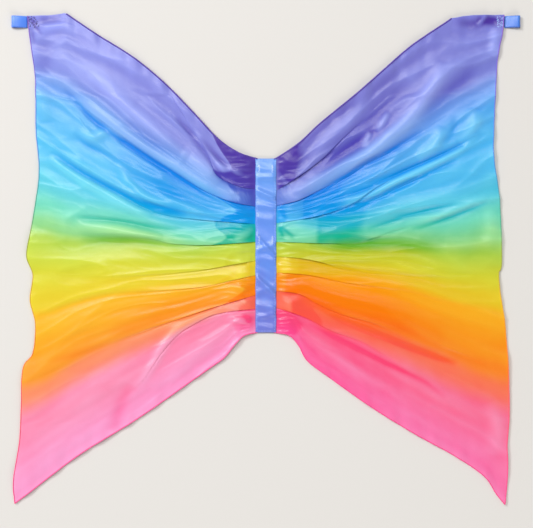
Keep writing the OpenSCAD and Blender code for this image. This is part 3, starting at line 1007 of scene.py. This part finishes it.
def loop_profile():
    """The loop's section from its seam, out over the top, round the fold and back beneath."""
    radius = 3.7
    far = np.array([LOOP_FAR - radius - 0.2, 3.95])
    seam = np.array([LOOP_SEAM_OUT, LOOP_SEAM_HEIGHT])
    top = [seam + (0, 0.35) + f * (far + (0, radius) - seam - (0, 0.35)) + (0, 0.9 * math.sin(math.pi * f))
           for f in np.linspace(0, 1, 14)[:-1]]
    bend = [far + radius * np.array([math.sin(a), math.cos(a)]) for a in np.linspace(0, math.pi, 17)]
    under = [far + (0, -radius) + f * (seam - (0, 0.35) - far + (0, radius)) for f in np.linspace(0, 1, 14)[1:]]
    return np.array(top + bend + under)


def wrist_loop(side):
    """A short loop of satin ribbon, standing a little open at its fold."""
    profile, count = loop_profile(), 15
    points = []
    for share in np.linspace(0, 1, count):
        y = LOOP_TOP - LOOP_WIDTH * share
        for out, z in profile:
            away = (out - LOOP_SEAM_OUT) / (LOOP_FAR - LOOP_SEAM_OUT)
            sway = 0.5 * away * math.sin(2.6 * share + 0.6)
            points.append((SIDE_SIGN[side] * (out - 0.35 * math.sin(3.1 * share) * away), y + 0.3 * away,
                           max(z + sway * (z - LOOP_SEAM_HEIGHT) / 7, 0.25)))
    loop = mesh_piece(side + "_satin_loop", np.array(points) * MM,
                      sheet_faces(count, len(profile), flip=side == "right"))
    finish_with(loop, "SOLIDIFY", thickness=0.4 * MM, offset=0)
    shade_smooth(loop)
    return loop


def loop_tail(side):
    """The loop's two sewn ends, under the silk corner."""
    columns, rows = 12, 13
    out, y = np.meshgrid(np.linspace(LOOP_SEAM_OUT - 16, LOOP_SEAM_OUT - 1.6, columns),
                         np.linspace(LOOP_TOP, LOOP_TOP - LOOP_WIDTH, rows))
    z = 0.75 + 0.12 * np.sin(0.9 * out + 0.4 * y)
    tail = mesh_piece(side + "_loop_tail", np.stack([SIDE_SIGN[side] * out, y, z], -1).reshape(-1, 3) * MM,
                      sheet_faces(rows, columns, flip=side == "left"))
    finish_with(tail, "SOLIDIFY", thickness=0.7 * MM, offset=0)
    shade_smooth(tail)
    return tail


def loop_tack_places(side, grid):
    """Hand-worked stitches through the corner, over the loop's sewn ends."""
    out, up, z, s_grid, v_grid, layers_and_shade = grid
    places = []
    for i in range(LOOP_STITCHES):
        if side == "left":
            far = LOOP_SEAM_OUT - 3.5 - 19 * (0.5 + 0.5 * math.sin(2.4 * i)) * (0.55 + 0.45 * i / LOOP_STITCHES)
        else:
            far = LOOP_SEAM_OUT - 3.5 - 10 * (0.5 + 0.5 * math.sin(1.7 * i + 0.31 * i * i))
        y = LOOP_TOP - 1.5 - 19.5 * i / LOOP_STITCHES
        near = np.argmin((out - far) ** 2 + (up - y) ** 2)
        turn = (0.9 if i % 2 else -0.8) + 0.5 * math.sin(i)
        places.append((SIDE_SIGN[side] * far, y, z.ravel()[near] + 0.2, turn))
    return places


# ---------------------------------------------------------------- straps and label
# Sizes in mm; the strap is sewn on at STRAP_HALF_SPAN above and below its middle
STRAP_OUT = 12.0
STRAP_FAR = 90.0
STRAP_MIDDLE = 100.0
STRAP_HALF_SPAN = 65.0
STRAP_HALF_WIDTH = 6.0


def arm_strap(side):
    """Flat elastic folded back on itself at its far end, so that it lies as a V."""
    rise = STRAP_HALF_SPAN / (STRAP_FAR - STRAP_OUT)
    half = STRAP_HALF_WIDTH * math.hypot(1, rise)
    points, faces, flat = [], [], []
    across, steps = 5, 60
    for leg, base in ((1, 0.45), (-1, 0.5)):
        start = len(points)
        for i in range(steps + 1):
            f = i / steps
            out = STRAP_OUT + f * (STRAP_FAR - STRAP_OUT)
            y = STRAP_MIDDLE + leg * STRAP_HALF_SPAN * (1 - f)
            lift = 0.75 * ease(f, 0.8, 0.95) if leg < 0 else 0
            for k in range(across):
                g = k / (across - 1)
                points.append((SIDE_SIGN[side] * out, y + half * (2 * g - 1),
                               base + lift + 0.05 * math.sin(40 * f)))
                flat.append((g * 2 * STRAP_HALF_WIDTH, leg * f * 101.5))
        faces += [tuple(start + i for i in face) for face in sheet_faces(steps + 1, across)]
    strap = mesh_piece(side + "_elastic_strap", np.array(points) * MM, faces)
    flat_map(strap, "flat_tape", flat)
    finish_with(strap, "SOLIDIFY", thickness=0.8 * MM, offset=0)
    face_outwards(strap)
    return strap


def blank_label():
    """A folded slip of white tape, sewn in by its upper end. It carries no text."""
    bpy.ops.object.select_all(action="DESELECT")
    bpy.ops.mesh.primitive_grid_add(x_subdivisions=10, y_subdivisions=16, size=1, location=(0, -0.1105, 0.0008))
    label = bpy.context.object
    label.name = "blank_label"
    label.scale = (0.014, 0.024, 1)
    bpy.ops.object.transform_apply(location=True, rotation=False, scale=True)
    for vertex in label.data.vertices:
        vertex.co.z += 0.12 * MM * math.sin(260 * vertex.co.y + 90 * vertex.co.x)
    finish_with(label, "SOLIDIFY", thickness=0.5 * MM, offset=0)
    shade_smooth(label)
    return label


# ---------------------------------------------------------------- the pieces
def place(piece, material, body, slot, *replaced):
    """Finishes a piece: its material, the body it rides on and the nodes it stands for."""
    put_on(piece, material)
    if body:
        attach(piece, body)
    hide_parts(*replaced)


silk = dyed_silk()
edge_silk = rolled_silk("rolled_hem", [
    (0.0, "#8a58c8"), (0.15, "#7668d8"), (0.28, "#4688e0"), (0.43, "#48a88c"), (0.50, "#a0a834"),
    (0.60, "#e0a81c"), (0.72, "#f48424"), (0.82, "#f4526c"), (1.0, "#f4428c")])
violet_hem = rolled_silk("top_hem", [(0.0, "#4a2f9c"), (1.0, "#4a2f9c")])
spine_satin = satin_ribbon("spine_satin", "#5f94e4", "#5b86e0", "#6772cc", -134, 184)
# Painted shade: the right loop's satin is the same ribbon as the left's, painted darker as the loop away from the
# window.
loop_satin = {"left": satin_ribbon("left_loop_satin", "#4f86ee", "#4880e8", "#437ae4", 423, 444),
              "right": satin_ribbon("right_loop_satin_shaded", "#3676d8", "#3070d2", "#2c68cc", 423, 444)}
blue_thread = sewing_thread("blue_thread", "#8fb4f6", "#c4dcff")
white_thread = sewing_thread("white_thread", "#c8dcfb", "#f2f8ff")
violet_thread = sewing_thread("violet_thread", "#231760", "#3a2c8c")
pale_thread = sewing_thread("pale_thread", "#7f9ae8", "#aecbf8")

grids = {side: wing_points(side) for side in ("left", "right")}
for name, height, facing, node in (("front_ribbon", 3.1, 1, "spine_front_ribbon"),
                                   ("back_ribbon", 1.55, -1, "spine_back_ribbon")):
    ribbon = spine_ribbon(name, height, facing)
    place(ribbon, spine_satin, "spine", "satin_ribbon", node)
place(sew("front_stitches", spine_seam_places(3.15, 1)), blue_thread, "spine", "sewing_thread",
      "spine_front_stitching")
place(sew("back_stitches", spine_seam_places(1.42, -1), height=0.4), blue_thread, "spine", "sewing_thread",
      "spine_back_stitching")
place(gathered_silk(), silk, "spine", "dyed_silk", "spine_gathered_silk")
place(blank_label(), plain_tape(), "spine", "label_tape", "care_label")
elastic = ribbed_elastic()
loop_thread = {"left": violet_thread, "right": pale_thread}
for side, grid in grids.items():
    sign = SIDE_SIGN[side]
    wing_body = side + "_wing"
    wing = silk_wing(side, grid)
    place(wing, silk, None, "dyed_silk", side + "_wing_silk")
    hems = []
    for edge, half_width, half_height, pitch, cloth in (
            ("top", 1.5, 1.1, 4.2, violet_hem), ("outer", 0.9, 0.9, 3.0, edge_silk),
            ("bottom", 0.9, 0.9, 3.0, edge_silk)):
        path, shares, out = wing_edge(side, grid, edge)
        if edge == "top":
            sewn = out <= FOLD_CORNER[side]
            path, shares = path[sewn], shares[sewn]
        hem = rolled_hem(side + "_" + edge + "_roll", path, shares, half_width, half_height, pitch)
        place(hem, cloth, None, "rolled_hem", side + "_" + edge + "_hem")
        hems.append(hem)
    for cloth in [wing] + hems:
        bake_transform(cloth)
    facing = corner_facing(side, grid)
    place(facing, silk, wing_body, "dyed_silk", side + "_corner_fold")
    place(loop_tail(side), loop_satin[side], wing_body, "satin_ribbon", side + "_corner_fold")
    place(sew(side + "_loop_zigzag", loop_tack_places(side, grid), 4.0, 1.3, 0.9), loop_thread[side], wing_body,
          "sewing_thread", side + "_loop_tack")
    place(wrist_loop(side), loop_satin[side], side + "_loop", "satin_ribbon", side + "_wrist_loop")
    place(arm_strap(side), elastic, side + "_strap", "elastic_tape", side + "_arm_strap")
    place(sew(side + "_strap_zigzag", strap_tack_places(sign, 3.2), 4.6, 0.7, 0.6), white_thread, "spine",
          "sewing_thread", side + "_strap_tacks")


# ---------------------------------------------------------------- floor, light and camera
def studio_floor():
    bpy.ops.object.select_all(action="DESELECT")
    bpy.ops.mesh.primitive_plane_add(size=40, location=(0, 0, 0))
    floor = bpy.context.object
    floor.name = "studio_floor"
    material, nodes, links, shader = new_material("pale_floor")
    shader.inputs["Base Color"].default_value = srgb("#d2d0cd")
    shader.inputs["Roughness"].default_value = 0.9
    shader.inputs["Specular IOR Level"].default_value = 0.1
    put_on(floor, material)


def soft_window(name, place, size, power, tint):
    light = bpy.data.lights.new(name, "AREA")
    light.shape = "DISK"
    light.size = size
    light.energy = power
    light.color = tint
    lamp = bpy.data.objects.new(name, light)
    bpy.context.scene.collection.objects.link(lamp)
    lamp.location = place
    lamp.rotation_euler = (-Vector(place)).to_track_quat("-Z", "Y").to_euler()


def room_light(strength):
    world = bpy.data.worlds.new("room")
    bpy.context.scene.world = world
    world.use_nodes = True
    nodes, links = world.node_tree.nodes, world.node_tree.links
    split = nodes.new("ShaderNodeSeparateXYZ")
    links.new(nodes.new("ShaderNodeTexCoord").outputs["Generated"], split.inputs[0])
    dome = ramp_node(nodes, [(0.0, "#fffbf5"), (0.7, "#fffbf5"), (1.0, "#4c4b4a")])
    links.new(split.outputs["Z"], dome.inputs["Fac"])
    links.new(dome.outputs["Color"], nodes["Background"].inputs["Color"])
    world.node_tree.nodes["Background"].inputs["Strength"].default_value = strength


def overhead_camera():
    lens = bpy.data.cameras.new("overhead")
    lens.lens = 85
    lens.sensor_width = 36
    camera = bpy.data.objects.new("overhead", lens)
    bpy.context.scene.collection.objects.link(camera)
    camera.location = (0.0012, -0.0092, 2.304)
    bpy.context.scene.camera = camera


studio_floor()
room_light(0.50)
soft_window("window", (-4.4, 3.0, 4.5), 2.2, 300, (0.98, 0.99, 1.0))
soft_window("fill", (1.2, -3.6, 2.2), 2.6, 62, (1.0, 0.97, 0.94))
soft_window("ceiling", (-0.9, 2.2, 5.2), 1.9, 140, (1.0, 0.99, 0.98))
overhead_camera()
bpy.context.scene.view_settings.view_transform = "Standard"
